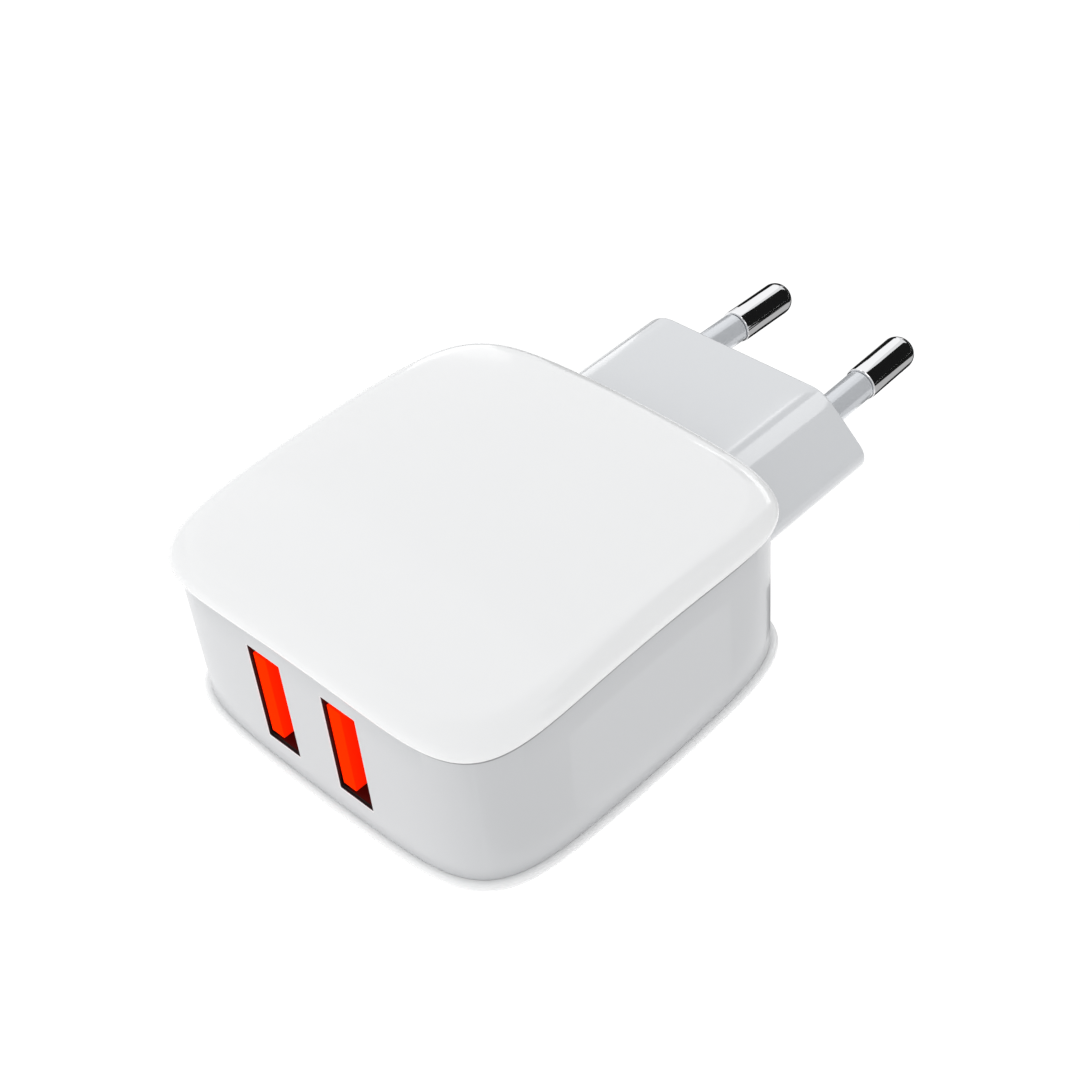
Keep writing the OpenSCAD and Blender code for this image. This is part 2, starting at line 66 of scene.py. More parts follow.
# %% Camera
camera_data = bpy.data.cameras.new("camera")
camera_data.lens = 63.15
camera_data.sensor_width = 36.0
camera_data.clip_start = 0.01
camera = bpy.data.objects.new("camera", camera_data)
camera_right = Vector((0.71988, 0.68952, -0.07962))
camera_up = Vector((-0.42109, 0.52504, 0.73961))
camera_back = Vector((0.55178, -0.4989, 0.66831))
camera_axes = Matrix((camera_right, camera_up, camera_back)).transposed()
camera.matrix_world = Matrix.Translation(Vector((109.15, -131.77, 133.74)) * MM) @ camera_axes.to_4x4()
bpy.context.scene.collection.objects.link(camera)
bpy.context.scene.camera = camera
bpy.context.scene.view_settings.view_transform = "Standard"
print("camera stands", round(camera.matrix_world.translation.length, 3), "m from the plug face")

# %% [markdown]
# ## Studio
#
# White plastic on a white sweep only shows its shape through small steps of grey, so the light is mostly
# even air with three large soft panels. The panel behind on the left is what the domed top mirrors, the
# one in front lifts the face with the sockets, and a weak one above on the left models the dome.
# Directions are given as a compass turn from +X and a height above the horizon.

# %% Floor
foot_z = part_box("bottom_cover")[0].z
middle = Vector((0, -0.02, 0))


def toward(turn, height):
    turn, height = math.radians(turn), math.radians(height)
    return Vector((math.cos(height) * math.cos(turn), math.cos(height) * math.sin(turn), math.sin(height)))


def flat_object(name, corners, colour, glow, only_mirrored=False):
    """A flat stage piece: a sweep, or a card that only mirror rays can see."""
    mesh = bpy.data.meshes.new(name)
    mesh.from_pydata(corners, [], [tuple(range(len(corners)))])
    made = bpy.data.objects.new(name, mesh)
    bpy.context.scene.collection.objects.link(made)
    paper = bpy.data.materials.new(name)
    paper.use_nodes = True
    shader = paper.node_tree.nodes["Principled BSDF"]
    shader.inputs["Base Color"].default_value = (*colour, 1)
    shader.inputs["Roughness"].default_value = 1.0
    shader.inputs["Specular IOR Level"].default_value = 0.0
    shader.inputs["Emission Color"].default_value = (1, 1, 1, 1)
    shader.inputs["Emission Strength"].default_value = glow
    mesh.materials.append(paper)
    if only_mirrored:
        made.visible_camera = made.visible_diffuse = made.visible_shadow = made.visible_transmission = False
    return made


floor_reach = 1.5
flat_object("floor", [(x * floor_reach, y * floor_reach, foot_z)
                      for x, y in ((-1, -1), (1, -1), (1, 1), (-1, 1))], (0.30, 0.30, 0.30), 0.80)
print("floor at", round(foot_z / MM, 2), "mm")

# %% Air and soft panels
world = bpy.data.worlds.new("studio_air")
bpy.context.scene.world = world
world.use_nodes = True
world.node_tree.nodes["Background"].inputs["Color"].default_value = (0.985, 0.992, 1.0, 1)
world.node_tree.nodes["Background"].inputs["Strength"].default_value = 0.875


def soft_panel(name, turn, height, distance, width, tall, power):
    data = bpy.data.lights.new(name, "AREA")
    data.shape = "RECTANGLE"
    data.size, data.size_y = width, tall
    data.energy = power
    lamp = bpy.data.objects.new(name, data)
    place = middle + toward(turn, height) * distance
    facing = (place - middle).to_track_quat("Z", "Y").to_matrix().to_4x4()
    lamp.matrix_world = Matrix.Translation(place) @ facing
    bpy.context.scene.collection.objects.link(lamp)
    return lamp


back_panel = soft_panel("back_panel", 147, 42, 0.9, 1.0, 1.0, 0.72)
front_panel = soft_panel("front_panel", -125, 4, 0.9, 1.2, 0.9, 1.8)
front_panel.visible_glossy = False
left_panel = soft_panel("left_panel", 185, 50, 0.9, 0.8, 0.8, 0.4)
print("panels:", back_panel.name, front_panel.name, left_panel.name)

# %% [markdown]
# Plated pins show whatever is around them. Black cards behind on the right give the dark stripe that tells
# the eye that they are polished. Grey and black cards lie under the pins, and draw their lower edge against
# the white sweep. Small bright cards close above the plug draw the lines on its shoulders. Only mirror rays
# see the cards, except the one on the right, which also keeps some of the sweep's light off that side.

# %% Cards for the plug
def card(name, corners, glow):
    return flat_object(name, [Vector(corner) * MM for corner in corners], (0.01, 0.01, 0.01), glow, True)


def level_card(name, outline, lift, glow):
    return card(name, [(x, y, foot_z / MM + lift) for x, y in outline], glow)


def oblong(left, near, right, far):
    return ((left, near), (right, near), (right, far), (left, far))


def sky_card(name, left, right, low, high):
    """A black upright card 0.6 m away, between two compass turns and two heights in degrees."""
    corners = []
    for turn, height in oblong(left, low, right, high):
        distance = 0.6 / math.cos(math.radians(turn - (left + right) / 2))
        corners.append((middle + toward(turn, height) * distance) / MM)
    return card(name, corners, 0.0)


sky_card("wall_card", 12, 84, -1, 36)
sky_card("pin_card", 25, 84, 35, 60)
sky_card("tip_card", 83, 106, -1, 18)
card("left_card", [(x, 60, z) for x, z in oblong(-74, foot_z / MM, -24, 20)], 0.0)
level_card("under_light", oblong(-60, 18, 120, 42), 0.1, 0.5)
level_card("under_dark", oblong(-170, 42, 400, 400), 0.1, 0.0)
for pin_x in (-9, 9):
    card("under_pin", [(x, y, -6) for x, y in oblong(pin_x - 3.5, 13, pin_x + 3.5, 28)], 0.0)
card("shoulder_light", [(x, y, 16) for x, y in ((10, -8), (21, -8), (23, 12), (10, 12))], 2.3)
card("shoulder_gap", [(x, y, 25) for x, y in oblong(1.5, 0, 8.6, 17)], 0.0)
card("shoulder_line", [(x, y, 25) for x, y in oblong(-3.6, 1, -0.4, 17)], 2.8)
card("left_light", [(x, 60, z) for x, z in oblong(-155, 5, -100, 60)], 1.9)
level_card("corner_line", ((-16, -18), (22, -18), (22, -9.5), (13, -9.5), (10, -4), (6, 1), (-16, 4)),
           0.1, 0.0)
right_sweep = level_card("right_sweep", oblong(27, -260, 420, 20), 0.05, 0.75)
right_sweep.visible_diffuse = True

# %% [markdown]
# ## Finishes
#
# Injection-moulded plastic is never quite even: the mould's spark-eroded skin gives a fine grain, thick
# and thin places cool at different speeds and leave faint waves, and hands leave patches of different gloss.
# These effects are needed by many materials, so each is a shader node group that is built once. A group
# gives only values; the Principled shader stays in each material.

# %% Helpers for shader groups
def new_group(name, inputs, outputs):
    group = bpy.data.node_groups.new(name, "ShaderNodeTree")
    for label, value in inputs.items():
        socket = group.interface.new_socket(name=label, in_out="INPUT", socket_type="NodeSocketFloat")
        socket.default_value = value
    for label in outputs:
        group.interface.new_socket(name=label, in_out="OUTPUT", socket_type="NodeSocketFloat")
    return group, group.nodes.new("NodeGroupInput"), group.nodes.new("NodeGroupOutput")


def feed(tree, socket, value):
    if isinstance(value, bpy.types.NodeSocket):
        tree.links.new(value, socket)
    else:
        socket.default_value = value


def calc(tree, operation, first, second=0.0, third=0.0, clamp=False):
    node = tree.nodes.new("ShaderNodeMath")
    node.operation = operation
    node.use_clamp = clamp
    for socket, value in zip(node.inputs, (first, second, third)):
        feed(tree, socket, value)
    return node.outputs[0]


def noise(tree, vector, scale, detail=2.0, rough=0.5):
    node = tree.nodes.new("ShaderNodeTexNoise")
    tree.links.new(vector, node.inputs["Vector"])
    feed(tree, node.inputs["Scale"], scale)
    node.inputs["Detail"].default_value = detail
    node.inputs["Roughness"].default_value = rough
    return node.outputs["Fac"]


def object_place(tree, stretch=(1, 1, 1), turn=(0, 0, 0), shift=(0, 0, 0)):
    coordinates = tree.nodes.new("ShaderNodeTexCoord")
    mapping = tree.nodes.new("ShaderNodeMapping")
    mapping.inputs["Scale"].default_value = stretch
    mapping.inputs["Rotation"].default_value = turn
    mapping.inputs["Location"].default_value = shift
    tree.links.new(coordinates.outputs["Object"], mapping.inputs["Vector"])
    return mapping.outputs["Vector"]


# %% Group: moulded skin
moulded_skin, skin_in, skin_out = new_group(
    "moulded_skin", {"Grain per metre": 5200.0, "Grain depth": 0.5, "Wave depth": 0.5}, ["Height", "Tone"])
skin_place = object_place(moulded_skin)
skin_grain = noise(moulded_skin, skin_place, skin_in.outputs["Grain per metre"], 3.0, 0.6)
skin_wave = noise(moulded_skin, skin_place, 55.0, 1.0)
skin_tone = noise(moulded_skin, skin_place, 26.0, 3.0, 0.55)
moulded_skin.links.new(calc(moulded_skin, "ADD",
                            calc(moulded_skin, "MULTIPLY", skin_grain, skin_in.outputs["Grain depth"]),
                            calc(moulded_skin, "MULTIPLY", skin_wave, skin_in.outputs["Wave depth"])),
                       skin_out.inputs["Height"])
moulded_skin.links.new(skin_tone, skin_out.inputs["Tone"])
print("built", moulded_skin.name)

# %% Group: handling marks
handling_marks, marks_in, marks_out = new_group(
    "handling_marks", {"Patches per metre": 90.0, "Amount": 0.3}, ["Gloss loss", "Scratch"])
marks_place = object_place(handling_marks)
patches = noise(handling_marks, marks_place, marks_in.outputs["Patches per metre"], 4.0, 0.6)
patch_mask = calc(handling_marks, "SUBTRACT", patches, 0.5, clamp=True)
scratch_place = object_place(handling_marks, (900, 60, 60), (0.2, 0.4, 0.6))
scratch_lines = noise(handling_marks, scratch_place, 1.0, 2.0, 0.4)
scratch_distance = calc(handling_marks, "ABSOLUTE", calc(handling_marks, "SUBTRACT", scratch_lines, 0.5))
scratch_mask = calc(handling_marks, "SMOOTH_MIN", scratch_distance, 0.012, 0.01)
handling_marks.links.new(calc(handling_marks, "MULTIPLY", patch_mask, marks_in.outputs["Amount"]),
                         marks_out.inputs["Gloss loss"])
handling_marks.links.new(calc(handling_marks, "MULTIPLY", scratch_mask, 80.0, clamp=True),
                         marks_out.inputs["Scratch"])
print("built", handling_marks.name)

# %% Group: drawn metal
drawn_metal, drawn_in, drawn_out = new_group(
    "drawn_metal", {"Lines across": 2500.0, "Lines along": 60.0}, ["Height", "Tone"])
drawn_coordinates = drawn_metal.nodes.new("ShaderNodeTexCoord")
drawn_split = drawn_metal.nodes.new("ShaderNodeSeparateXYZ")
drawn_join = drawn_metal.nodes.new("ShaderNodeCombineXYZ")
drawn_metal.links.new(drawn_coordinates.outputs["Object"], drawn_split.inputs[0])
for drawn_axis, drawn_rate in enumerate(("Lines across", "Lines along", "Lines across")):
    feed(drawn_metal, drawn_join.inputs[drawn_axis],
         calc(drawn_metal, "MULTIPLY", drawn_split.outputs[drawn_axis], drawn_in.outputs[drawn_rate]))
drawn_lines = noise(drawn_metal, drawn_join.outputs[0], 1.0, 3.0, 0.6)
drawn_metal.links.new(drawn_lines, drawn_out.inputs["Height"])
drawn_metal.links.new(noise(drawn_metal, object_place(drawn_metal), 160.0, 2.0), drawn_out.inputs["Tone"])
print("built", drawn_metal.name)

# %% [markdown]
# ### Plastic and metal materials
#
# A plastic takes two close shades and lets the tone group wander between them, adds the handling marks to
# its roughness, and bumps its normal with the mould's grain. A metal does the same with drawn lines. Values
# that are even all over the piece, such as the clear top layer's strength, are set on the shader itself.

# %% Material makers
finishes = {}


def place_group(tree, group, **values):
    node = tree.nodes.new("ShaderNodeGroup")
    node.node_tree = group
    for label, value in values.items():
        node.inputs[label.replace("_", " ")].default_value = value
    return node


def start_material(slot):
    material = bpy.data.materials.new(slot)
    material.use_nodes = True
    finishes[slot] = material
    return material.node_tree, material.node_tree.nodes["Principled BSDF"]


def blend_shades(tree, factor, dark, light):
    mix = tree.nodes.new("ShaderNodeMix")
    mix.data_type = "RGBA"
    feed(tree, mix.inputs["Factor"], factor)
    feed(tree, mix.inputs[6], (*dark, 1) if isinstance(dark, tuple) else dark)
    feed(tree, mix.inputs[7], (*light, 1) if isinstance(light, tuple) else light)
    return mix.outputs[2]


def bump(tree, shader, height, distance):
    node = tree.nodes.new("ShaderNodeBump")
    node.inputs["Strength"].default_value = 1.0
    node.inputs["Distance"].default_value = distance
    tree.links.new(height, node.inputs["Height"])
    tree.links.new(node.outputs["Normal"], shader.inputs["Normal"])


def roughen(tree, shader, hands, roughness):
    """Handled patches lose some gloss."""
    tree.links.new(calc(tree, "ADD", hands.outputs["Gloss loss"], roughness, clamp=True),
                   shader.inputs["Roughness"])


def plastic(slot, dark, light, roughness, grain=0.5, wave=0.5, depth=2e-6, marks=0.3, coat=0.0,
            per_metre=5200.0, soft=0.0, pearl=0.0, glow=None):
    """Glow is a colour and a strength of painted light: the surface gives off light in its own colour, though
    it is no lamp.
    """
    tree, shader = start_material(slot)
    skin = place_group(tree, moulded_skin, Grain_per_metre=per_metre, Grain_depth=grain, Wave_depth=wave)
    hands = place_group(tree, handling_marks, Amount=marks)
    tree.links.new(blend_shades(tree, skin.outputs["Tone"], dark, light), shader.inputs["Base Color"])
    roughen(tree, shader, hands, roughness)
    bump(tree, shader, skin.outputs["Height"], depth)
    shader.inputs["Coat Weight"].default_value = coat
    shader.inputs["Coat Roughness"].default_value = 0.05
    shader.inputs["Metallic"].default_value = pearl
    shader.inputs["Subsurface Weight"].default_value = soft
    shader.inputs["Subsurface Radius"].default_value = (1.0, 1.0, 1.0)
    shader.inputs["Subsurface Scale"].default_value = 0.001
    if glow:
        shader.inputs["Emission Color"].default_value = (*glow[:3], 1)
        shader.inputs["Emission Strength"].default_value = glow[3]
        shader.inputs["Specular IOR Level"].default_value = 0.0
    return finishes[slot]


def metal(slot, dark, light, roughness, depth=4e-7, across=2500.0, along=60.0):
    tree, shader = start_material(slot)
    drawn = place_group(tree, drawn_metal, Lines_across=across, Lines_along=along)
    hands = place_group(tree, handling_marks, Amount=0.12)
    tree.links.new(blend_shades(tree, drawn.outputs["Tone"], dark, light), shader.inputs["Base Color"])
    roughen(tree, shader, hands, roughness)
    shader.inputs["Metallic"].default_value = 1.0
    bump(tree, shader, drawn.outputs["Height"], depth)
    return finishes[slot]


# %% Finishes of the outside
plastic("gloss_white", (0.868, 0.87, 0.87), (0.896, 0.896, 0.895), 0.10, grain=0.05, wave=1.0, depth=6e-6,
        marks=0.15, coat=0.15, soft=0.6)
plastic("matte_grey", (0.605, 0.612, 0.624), (0.625, 0.631, 0.641), 0.30, grain=1.0, wave=0.4, depth=3e-6,
        marks=0.2, coat=0.3, soft=0.3)
plastic("plug_grey", (0.70, 0.712, 0.728), (0.725, 0.735, 0.75), 0.14, grain=0.2, wave=0.5, depth=3e-6,
        marks=0.15, coat=0.5)
plastic("sleeve", (0.70, 0.72, 0.75), (0.74, 0.76, 0.785), 0.16, grain=0.1, wave=0.4, depth=3e-6,
        coat=0.2, pearl=0.3)
# Painted light: the red insulator's glow makes it shine in its own red, though it is no lamp.
plastic("red_insulator", (0.90, 0.026, 0.0), (0.98, 0.036, 0.0), 0.45, grain=0.8, wave=0.3, depth=3e-6,
        marks=0.2, glow=(1.0, 0.004, 0.0, 0.75))
# Painted shade: the port walls are near black with a red tint, for the shade inside the ports and a painted
# reflection of the red tongue.
plastic("port_well_shade", (0.010, 0.0006, 0.0006), (0.016, 0.001, 0.001), 0.7, grain=0.8, wave=0.3, depth=3e-6)
# Painted highlight: the flared mouth of each port is near white on the grey frame, for the light its edge
# catches.
plastic("port_edge_highlight", (0.87, 0.875, 0.88), (0.90, 0.90, 0.905), 0.2, grain=0.2, wave=0.3, depth=2e-6)
metal("pin_metal", (0.80, 0.80, 0.81), (0.86, 0.86, 0.865), 0.05, depth=1.5e-8)
# Painted shade: the shell's steel is near black with a faint red tint, far darker than steel, for the shade
# inside the ports and a painted reflection of the red tongue.
metal("shell_steel", (0.05, 0.045, 0.045), (0.08, 0.07, 0.07), 0.4)
metal("contact_gold", (0.80, 0.56, 0.20), (0.90, 0.68, 0.30), 0.18, along=200.0)
print("outside finishes:", len(finishes))

# %% [markdown]
# A thin band just below the top cover's overhang is painted darker on the frame: painted shade of the
# overhang.
# A line drawn into an image would need an unwrapped surface. The dome's own rule gives the height below the
# seam instead: the dome drops by the square of the distance from its middle, over twice its radius.

# %% Painted shade under the seam
cover_low, cover_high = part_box("top_cover")
frame_low, frame_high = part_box("mid_frame")
cover_half = (cover_high.x - cover_low.x) / 2 / MM
frame_half = (frame_high.x - frame_low.x) / 2 / MM
body_centre = Vector((0, (cover_low.y + cover_high.y) / 2, 0))
seam_height, dome_radius, squareness_value = 11.0, 185.0, 6.0
print("cover half", round(cover_half, 3), "frame half", round(frame_half, 3), "mm")


# Paints shade into a colour: a thin band below the seam is blended towards dark grey, as painted shade of the
# cover's overhang.
def paint_seam_shade(material, depth_mm, fade_mm, strength):
    tree, shader = material.node_tree, material.node_tree.nodes["Principled BSDF"]
    place = tree.nodes.new("ShaderNodeSeparateXYZ")
    tree.links.new(object_place(tree), place.inputs[0])
    along = calc(tree, "SUBTRACT", place.outputs["Y"], body_centre.y)
    reach_squared = calc(tree, "ADD", calc(tree, "POWER", place.outputs["X"], 2.0),
                         calc(tree, "POWER", along, 2.0))
    drop_rate = (cover_half / frame_half) ** 2 / (2 * dome_radius * MM)
    seam_z = calc(tree, "SUBTRACT", seam_height * MM, calc(tree, "MULTIPLY", reach_squared, drop_rate))
    past_shade = calc(tree, "SUBTRACT", calc(tree, "SUBTRACT", seam_z, place.outputs["Z"]), depth_mm * MM)
    mask = calc(tree, "SUBTRACT", 1.0, calc(tree, "DIVIDE", past_shade, fade_mm * MM), clamp=True)
    colour = shader.inputs["Base Color"].links[0].from_socket
    # The dark grey here is painted shade under the top cover's overhang.
    tree.links.new(blend_shades(tree, calc(tree, "MULTIPLY", mask, strength), colour, (0.16, 0.16, 0.17)),
                   shader.inputs["Base Color"])


paint_seam_shade(finishes["matte_grey"], 0.6, 0.12, 0.7)
print("the frame's finish has", len(finishes["matte_grey"].node_tree.nodes), "nodes")

# %% Finishes of the inside
metal("lead_brass", (0.66, 0.50, 0.22), (0.74, 0.58, 0.28), 0.30)
metal("solder", (0.62, 0.63, 0.65), (0.74, 0.75, 0.76), 0.24, depth=3e-6, across=900.0, along=900.0)
plastic("ferrite", (0.045, 0.045, 0.05), (0.075, 0.075, 0.08), 0.55, depth=1.2e-5, per_metre=3000.0)
plastic("bobbin_white", (0.74, 0.70, 0.60), (0.80, 0.77, 0.68), 0.45, depth=5e-6)
metal("copper", (0.62, 0.22, 0.08), (0.78, 0.34, 0.13), 0.22, depth=5e-7)
plastic("yellow_tape", (0.80, 0.55, 0.04), (0.88, 0.65, 0.08), 0.25, grain=0.3, depth=5e-6, coat=0.3)
plastic("black_sleeve", (0.012, 0.012, 0.014), (0.022, 0.022, 0.025), 0.28, grain=0.3, depth=4e-6, coat=0.3)
plastic("green_sleeve", (0.02, 0.12, 0.06), (0.03, 0.16, 0.08), 0.28, grain=0.3, depth=4e-6, coat=0.3)
plastic("resistor_green", (0.08, 0.24, 0.15), (0.12, 0.30, 0.19), 0.6, depth=1.5e-5)
plastic("chip_black", (0.012, 0.012, 0.012), (0.02, 0.02, 0.021), 0.5, depth=5e-6, per_metre=9000.0)
plastic("disc_blue", (0.02, 0.07, 0.32), (0.03, 0.10, 0.40), 0.4, depth=1.5e-5)
plastic("chip_parts", (0.30, 0.21, 0.13), (0.38, 0.28, 0.18), 0.5, depth=5e-6)
plastic("natural_nylon", (0.70, 0.68, 0.62), (0.77, 0.75, 0.69), 0.42, depth=5e-6)
plastic("barrier_sheet", (0.55, 0.47, 0.28), (0.65, 0.57, 0.36), 0.6, depth=1e-5, per_metre=2000.0)
print("all finishes:", len(finishes))

# %% Board finish
board_tree, board_shader = start_material("board_green")
board_skin = place_group(board_tree, moulded_skin, Grain_per_metre=4000.0, Grain_depth=0.6)
track_cells = board_tree.nodes.new("ShaderNodeTexVoronoi")
track_cells.feature = "DISTANCE_TO_EDGE"
board_tree.links.new(object_place(board_tree, (1, 1, 0)), track_cells.inputs["Vector"])
track_cells.inputs["Scale"].default_value = 260.0
track_mask = calc(board_tree, "GREATER_THAN", track_cells.outputs["Distance"], 0.09)
mask_green = blend_shades(board_tree, board_skin.outputs["Tone"], (0.006, 0.085, 0.03), (0.01, 0.12, 0.045))
board_tree.links.new(blend_shades(board_tree, track_mask, (0.004, 0.05, 0.02), mask_green),
                     board_shader.inputs["Base Color"])
board_shader.inputs["Roughness"].default_value = 0.32
bump(board_tree, board_shader, calc(board_tree, "ADD", track_mask, board_skin.outputs["Height"]), 1.5e-5)
print("board finish has", len(board_tree.nodes), "nodes")

# %% [markdown]
# ## The rolled shell
#
# The covers, the middle frame, the pins, their sleeves and the posts under the board all follow one rule: a
# cross-section runs round an outline. The capacitors have that shape too, but they are not rolled here. A
# lathe (the Screw modifier) only makes round things, and a sculpted box would lose the exact dome. Geometry
# Nodes can follow the rule itself. A flat grid is rolled up: one way it follows the section, the other way it
# goes once round a squared circle, and the dome then bends the seams down to the corners.

# %% Helpers for geometry trees
def new_tree(name, inputs):
    tree = bpy.data.node_groups.new(name, "GeometryNodeTree")
    tree.interface.new_socket(name="Geometry", in_out="INPUT", socket_type="NodeSocketGeometry")
    for label, (kind, value) in inputs.items():
        made = tree.interface.new_socket(name=label, in_out="INPUT", socket_type="NodeSocket" + kind)
        if value is not None:
            made.default_value = value
    tree.interface.new_socket(name="Geometry", in_out="OUTPUT", socket_type="NodeSocketGeometry")
    return tree, tree.nodes.new("NodeGroupInput"), tree.nodes.new("NodeGroupOutput")


def add_node(tree, kind, **links):
    node = tree.nodes.new(kind)
    for label, value in links.items():
        socket = next(s for s in node.inputs if s.name == label.replace("_", " ") and s.enabled)
        feed(tree, socket, value)
    return node


def finish_tree(tree, group_in, group_out, geometry):
    realised = add_node(tree, "GeometryNodeRealizeInstances", Geometry=geometry)
    painted = add_node(tree, "GeometryNodeSetMaterial", Geometry=realised.outputs[0],
                       Material=group_in.outputs["Material"])
    tree.links.new(painted.outputs[0], group_out.inputs["Geometry"])


# %% The rolled shell's tree
rolled_shell, roll_in, roll_out = new_tree("rolled_shell", {
    "Segments": ("Int", 96), "Squareness": ("Float", 2.0), "Dome radius": ("Float", 1000.0),
    "Seam height": ("Float", 1.0), "Lowest": ("Float", -1.0), "Turn": ("Vector", (0, 0, 0)),
    "Centre": ("Vector", (0, 0, 0)), "Material": ("Material", None)})
section_size = add_node(rolled_shell, "GeometryNodeAttributeDomainSize", Geometry=roll_in.outputs["Geometry"])
section_points = section_size.outputs["Point Count"]
sheet = add_node(rolled_shell, "GeometryNodeMeshGrid", Size_X=1.0, Size_Y=1.0, Vertices_Y=section_points,
                 Vertices_X=calc(rolled_shell, "ADD", roll_in.outputs["Segments"], 1.0))
sheet_place = add_node(rolled_shell, "ShaderNodeSeparateXYZ",
                       Vector=rolled_shell.nodes.new("GeometryNodeInputPosition").outputs[0])
section_index = calc(rolled_shell, "ROUND", calc(rolled_shell, "MULTIPLY",
                                                 calc(rolled_shell, "ADD", sheet_place.outputs["Y"], 0.5),
                                                 calc(rolled_shell, "SUBTRACT", section_points, 1.0)))
around = calc(rolled_shell, "MULTIPLY", calc(rolled_shell, "ADD", sheet_place.outputs["X"], 0.5), math.tau)
sample = rolled_shell.nodes.new("GeometryNodeSampleIndex")
sample.data_type = "FLOAT_VECTOR"
rolled_shell.links.new(roll_in.outputs["Geometry"], sample.inputs["Geometry"])
for roll_socket, roll_value in (("Value", rolled_shell.nodes.new("GeometryNodeInputPosition").outputs[0]),
                                ("Index", section_index)):
    feed(rolled_shell, next(s for s in sample.inputs if s.name == roll_socket and s.enabled), roll_value)
section_place = add_node(rolled_shell, "ShaderNodeSeparateXYZ",
                         Vector=next(s for s in sample.outputs if s.enabled))

# %% Square the circle and bend it over the dome
squareness = roll_in.outputs["Squareness"]
cosine, sine = calc(rolled_shell, "COSINE", around), calc(rolled_shell, "SINE", around)
corner_sum = calc(rolled_shell, "ADD",
                  calc(rolled_shell, "POWER", calc(rolled_shell, "ABSOLUTE", cosine), squareness),
                  calc(rolled_shell, "POWER", calc(rolled_shell, "ABSOLUTE", sine), squareness))
stretch_out = calc(rolled_shell, "POWER", corner_sum, calc(rolled_shell, "DIVIDE", -1.0, squareness))
reach = calc(rolled_shell, "MULTIPLY", section_place.outputs["X"], stretch_out)
drop = calc(rolled_shell, "DIVIDE", calc(rolled_shell, "MULTIPLY", reach, reach),
            calc(rolled_shell, "MULTIPLY", roll_in.outputs["Dome radius"], 2.0))
side_share = calc(rolled_shell, "MINIMUM", 1.0, calc(rolled_shell, "MAXIMUM", -1.0, calc(
    rolled_shell, "DIVIDE", section_place.outputs["Z"], roll_in.outputs["Seam height"])))
bent_z = calc(rolled_shell, "MAXIMUM", roll_in.outputs["Lowest"],
              calc(rolled_shell, "SUBTRACT", section_place.outputs["Z"],
                   calc(rolled_shell, "MULTIPLY", drop, side_share)))
shell_place = add_node(rolled_shell, "ShaderNodeCombineXYZ", X=calc(rolled_shell, "MULTIPLY", reach, cosine),
                       Y=calc(rolled_shell, "MULTIPLY", reach, sine), Z=bent_z)
shell_set = add_node(rolled_shell, "GeometryNodeSetPosition", Geometry=sheet.outputs["Mesh"],
                     Position=shell_place.outputs[0])
shell_welded = add_node(rolled_shell, "GeometryNodeMergeByDistance", Geometry=shell_set.outputs[0],
                        Distance=2e-6)
shell_turned = add_node(rolled_shell, "GeometryNodeTransform", Geometry=shell_welded.outputs[0],
                        Rotation=roll_in.outputs["Turn"], Translation=roll_in.outputs["Centre"])
finish_tree(rolled_shell, roll_in, roll_out, shell_turned.outputs[0])
print("rolled_shell has", len(rolled_shell.nodes), "nodes")

# %% Run a tree and keep its mesh
def run_tree(name, tree, points, edges, values):
    start = bpy.data.meshes.new(name + "_start")
    start.from_pydata([Vector(p) * MM for p in points], edges, [])
    maker = bpy.data.objects.new(name + "_maker", start)
    bpy.context.scene.collection.objects.link(maker)
    modifier = maker.modifiers.new("tree", "NODES")
    modifier.node_group = tree
    sockets = {s.name: s.identifier for s in tree.interface.items_tree if s.in_out == "INPUT"}
    for label, value in values.items():
        modifier[sockets[label]] = value
    evaluated = maker.evaluated_get(bpy.context.evaluated_depsgraph_get())
    mesh = bpy.data.meshes.new_from_object(evaluated)
    mesh.name = name
    bpy.data.objects.remove(maker)
    return add_piece(name, mesh)


def add_piece(name, mesh):
    measure = bmesh.new()
    measure.from_mesh(mesh)
    open_edges = sum(not e.is_manifold for e in measure.edges)
    volume = measure.calc_volume(signed=True)
    if volume < 0:
        bmesh.ops.reverse_faces(measure, faces=measure.faces)
        measure.to_mesh(mesh)
    measure.free()
    mesh.shade_smooth()
    mesh.set_sharp_from_angle(angle=math.radians(32))
    made = bpy.data.objects.new(name, mesh)
    bpy.context.scene.collection.objects.link(made)
    print(f"{name}: {len(mesh.polygons)} faces, {abs(volume) * 1e9:.1f} mm3, {open_edges} open edges")
    return made


def rolled(name, section, slot, segments=96, squareness=2.0, dome=1000.0, seam=1.0, lowest=-1.0,
           turn=(0, 0, 0), centre=(0, 0, 0)):
    points = [(reach_mm, 0, height_mm) for reach_mm, height_mm in section]
    edges = [(i, i + 1) for i in range(len(points) - 1)]
    return run_tree(name, rolled_shell, points, edges, {
        "Segments": segments, "Squareness": squareness, "Dome radius": dome, "Seam height": seam,
        "Lowest": lowest, "Turn": turn, "Centre": centre, "Material": finishes[slot]})


def settle(piece, slot, *nodes, body=BODY):
    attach(piece, body)
    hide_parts(*nodes)


# %% [markdown]
# ## Covers
#
# Each cover is a thin domed plate with a rounded rim that stands a little proud of the frame, and a lip
# underneath that drops inside it. The rim is a quarter of an ellipse above and a smaller one below, so the
# reflection runs round it without a break. The bottom cover is the same plate turned over, a little
# thinner, with its crown cut to a flat foot.

# %% Section of a cover
def quarter(centre_at, size, start, end, steps):
    turns = [math.radians(start + (end - start) * i / steps) for i in range(steps + 1)]
    return [(centre_at[0] + size[0] * math.cos(t), centre_at[1] + size[1] * math.sin(t)) for t in turns]


